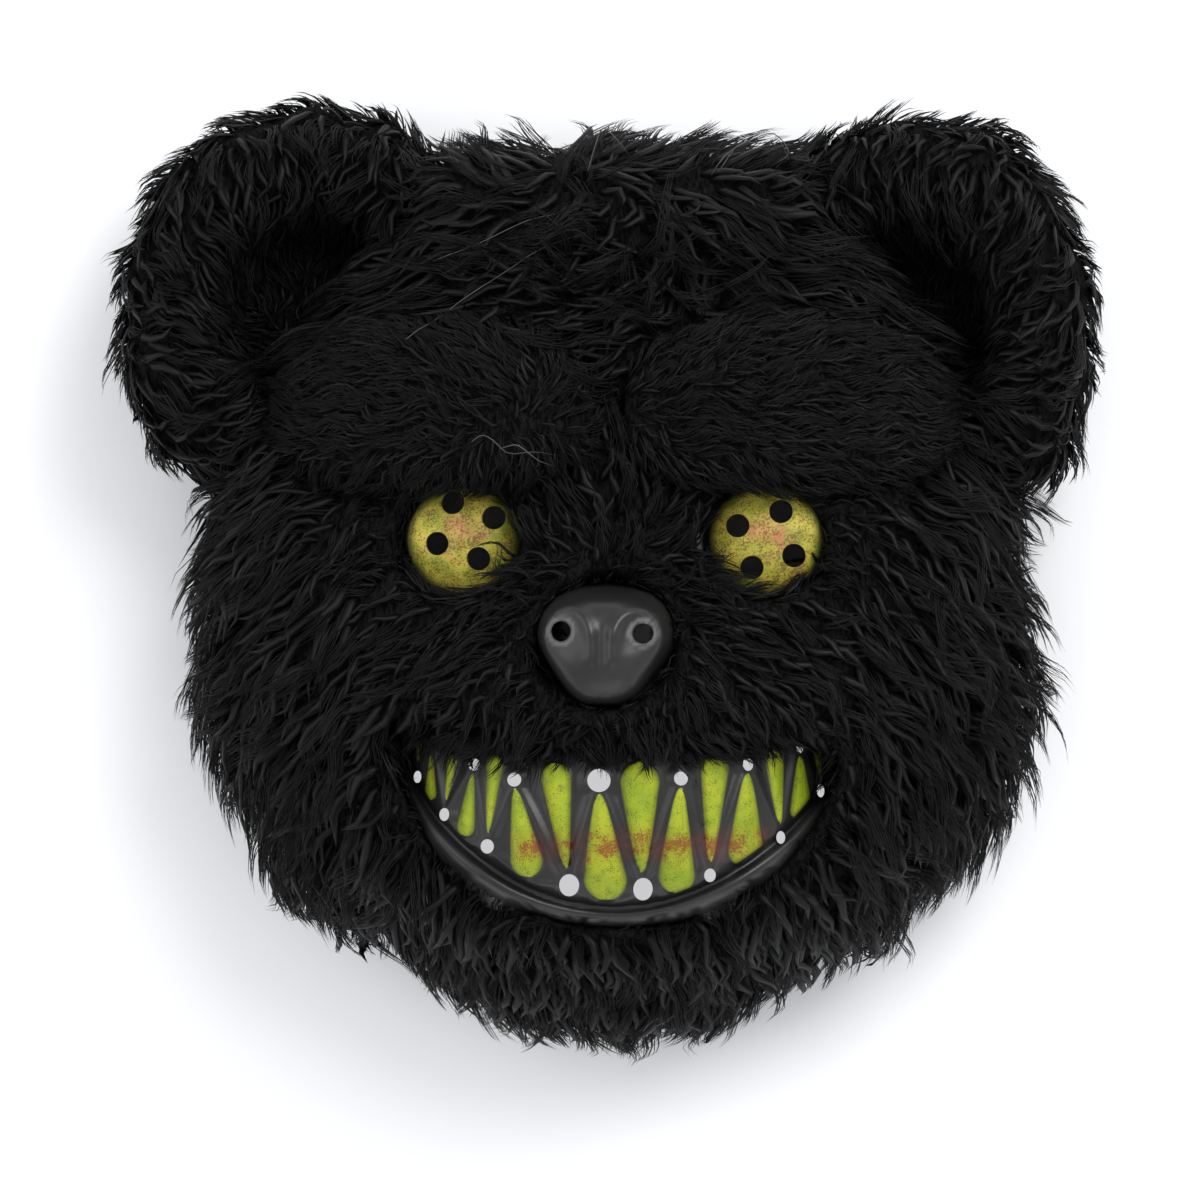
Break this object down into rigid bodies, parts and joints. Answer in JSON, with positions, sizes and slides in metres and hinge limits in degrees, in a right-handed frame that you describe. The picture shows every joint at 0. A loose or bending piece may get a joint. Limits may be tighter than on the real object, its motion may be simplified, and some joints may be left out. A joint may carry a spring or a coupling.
{
  "type": "bear mask",
  "caption": "Costume mask of a grinning bear: a thin moulded face with peepholes and a row of teeth, under long fur, with padded brows and dished ears; it lies on its rim, face up.",
  "frame": {"origin": "middle of the part's box, on the plane that the rim lies on", "axes": "+Z out of the face, away from the plane that the mask lies on; +Y from the chin to the crown; +X to the right as the face is looked at"},
  "size_m": [0.291, 0.2844, 0.122],
  "materials": {
    "moulded_plastic": "thin moulded dark plastic, satin, with painted eyes and teeth",
    "head_fur": "long shaggy black faux fur",
    "brow_fur": "shorter black faux fur, combed outward",
    "ear_fur": "long black faux fur, combed over the rim into the dish"
  },
  "bodies": {
    "root": {"face_shell": "moulded_plastic", "head_fur": "head_fur", "brow_left": "brow_fur", "brow_right": "brow_fur", "ear_left": "ear_fur", "ear_right": "ear_fur"}
  },
  "joints": []
}
